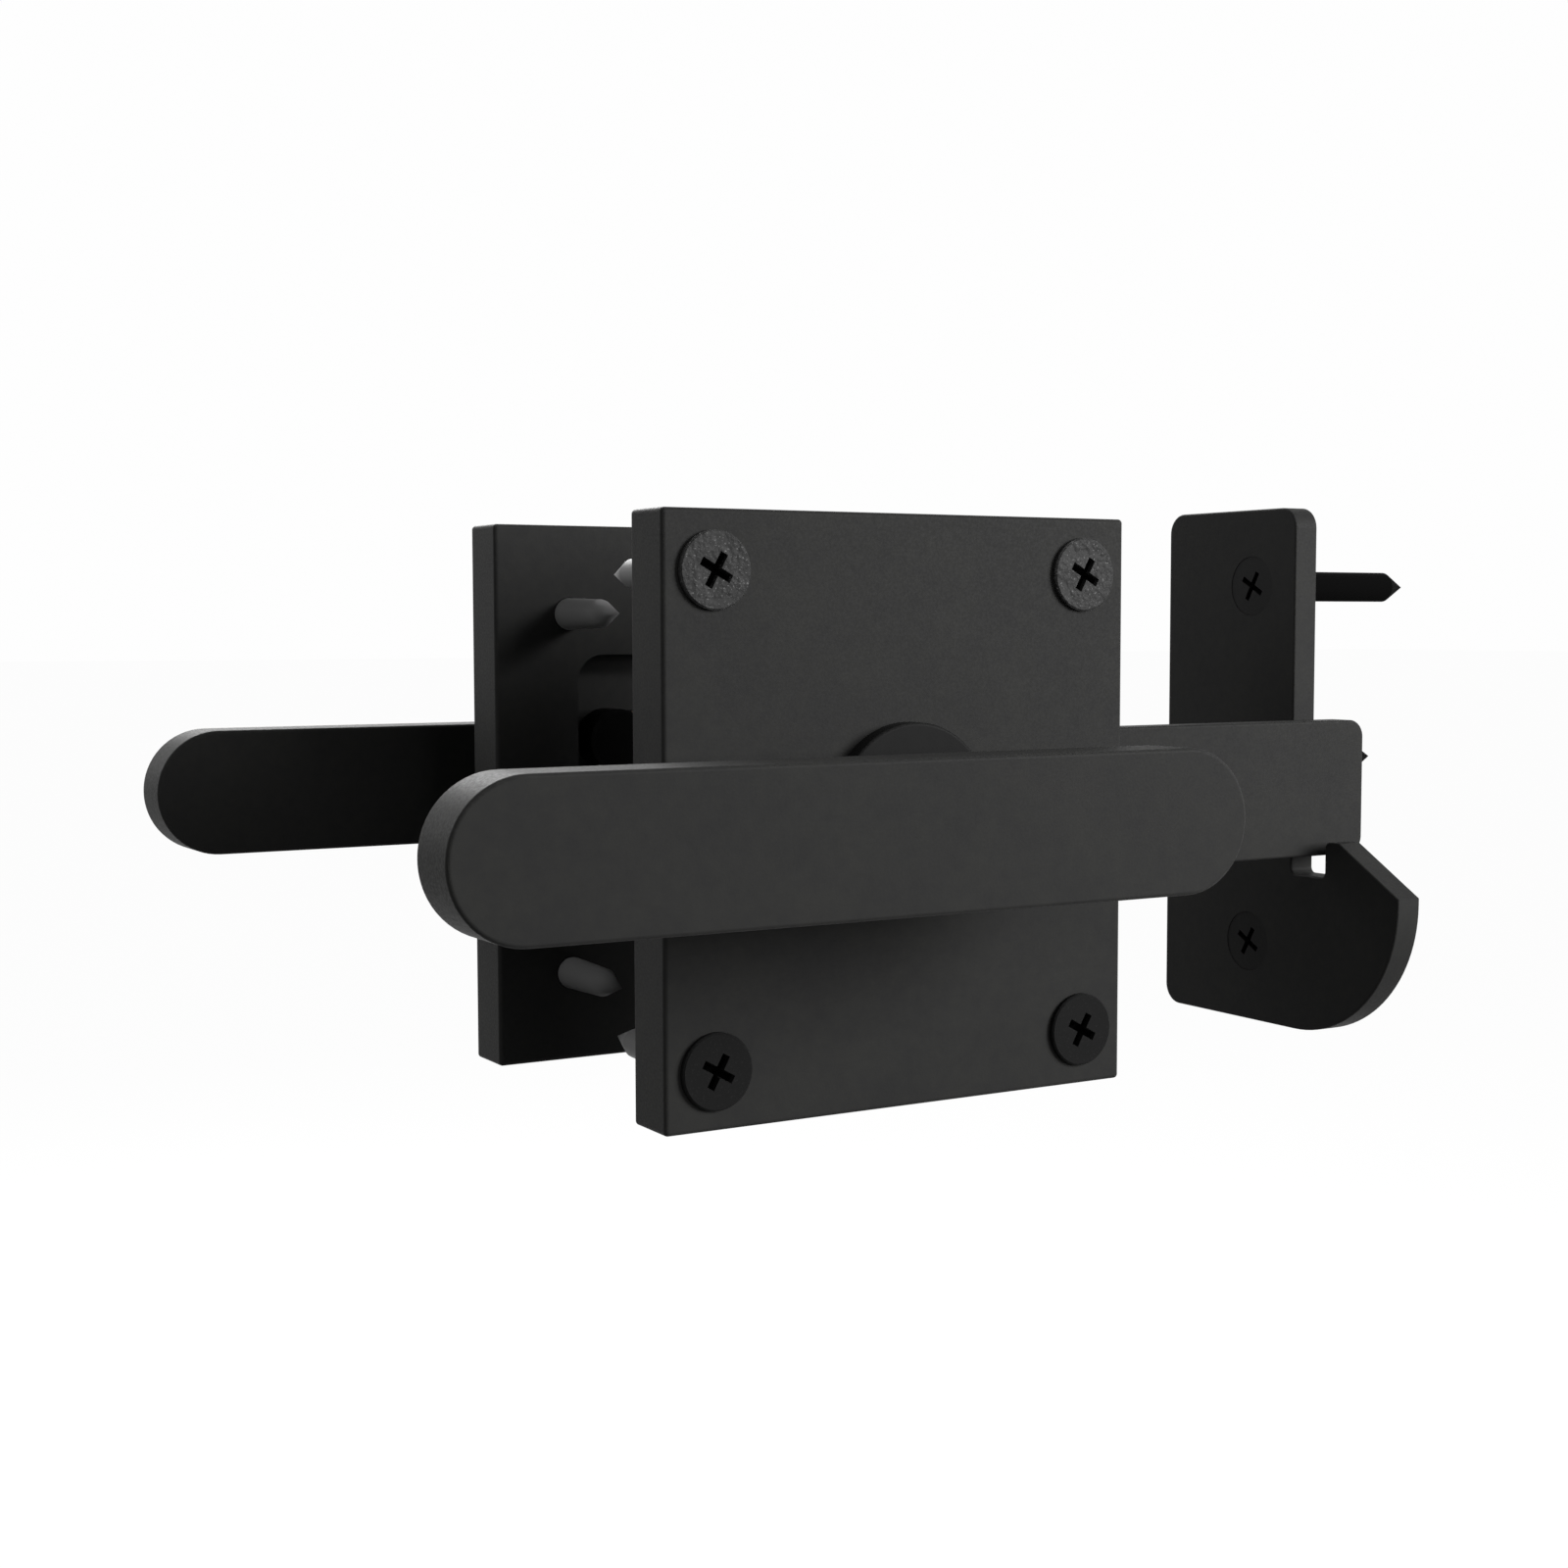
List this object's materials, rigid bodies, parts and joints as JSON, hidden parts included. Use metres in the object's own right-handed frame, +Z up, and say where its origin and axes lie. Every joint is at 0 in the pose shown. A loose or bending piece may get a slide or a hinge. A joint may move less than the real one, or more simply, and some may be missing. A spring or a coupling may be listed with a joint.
{
  "type": "lever gate latch",
  "caption": "Lever gate latch for a wooden gate: a plate and lever on each face, a spindle through it, a pivoting latch bar and a hook catch for the post.",
  "frame": {"origin": "the spindle axis where it meets the gate's front face, at the centre of the front plate's screws", "axes": "+X towards the post, +Y through the gate away from the front, +Z up"},
  "size_m": [0.2545, 0.168, 0.1123],
  "materials": {
    "black_powder_coat": "matte fine-textured black powder coat",
    "black_screw_finish": "matte black coated screw",
    "plated_steel": "dull zinc-plated steel",
    "bronze": "oiled sintered bronze",
    "spring_steel": "drawn spring wire"
  },
  "bodies": {
    "mounted": {"front_plate": "black_powder_coat", "back_plate": "black_powder_coat", "front_rose": "black_powder_coat", "back_rose": "black_powder_coat", "catch_plate": "black_powder_coat", "front_stop_pin": "black_powder_coat", "back_stop_pin": "black_powder_coat", "front_screw_top_left": "black_screw_finish", "front_screw_top_right": "black_screw_finish", "front_screw_bottom_left": "black_screw_finish", "front_screw_bottom_right": "black_screw_finish", "back_screw_top_left": "black_screw_finish", "back_screw_top_right": "black_screw_finish", "back_screw_bottom_left": "black_screw_finish", "back_screw_bottom_right": "black_screw_finish", "catch_screw_top": "black_screw_finish", "catch_screw_middle": "black_screw_finish", "catch_screw_bottom": "black_screw_finish", "front_bush": "bronze", "back_bush": "bronze", "return_spring": "spring_steel"},
    "lever_set": {"front_lever": "black_powder_coat", "back_lever": "black_powder_coat", "spindle": "plated_steel", "latch_bar": "black_powder_coat", "push_on_washer": "plated_steel", "spring_hub": "plated_steel", "front_set_screw": "plated_steel", "back_set_screw": "plated_steel"}
  },
  "joints": [
    {"name": "latch_lift", "type": "hinge", "parent": "mounted", "child": "lever_set", "pos_m": [0, 0.03, 0], "axis": [0, -1, 0], "range_deg": [0, 15], "stiffness_Nm_per_rad": 0.4, "springref_deg": -34.38, "deforming": ["return_spring"]}
  ]
}
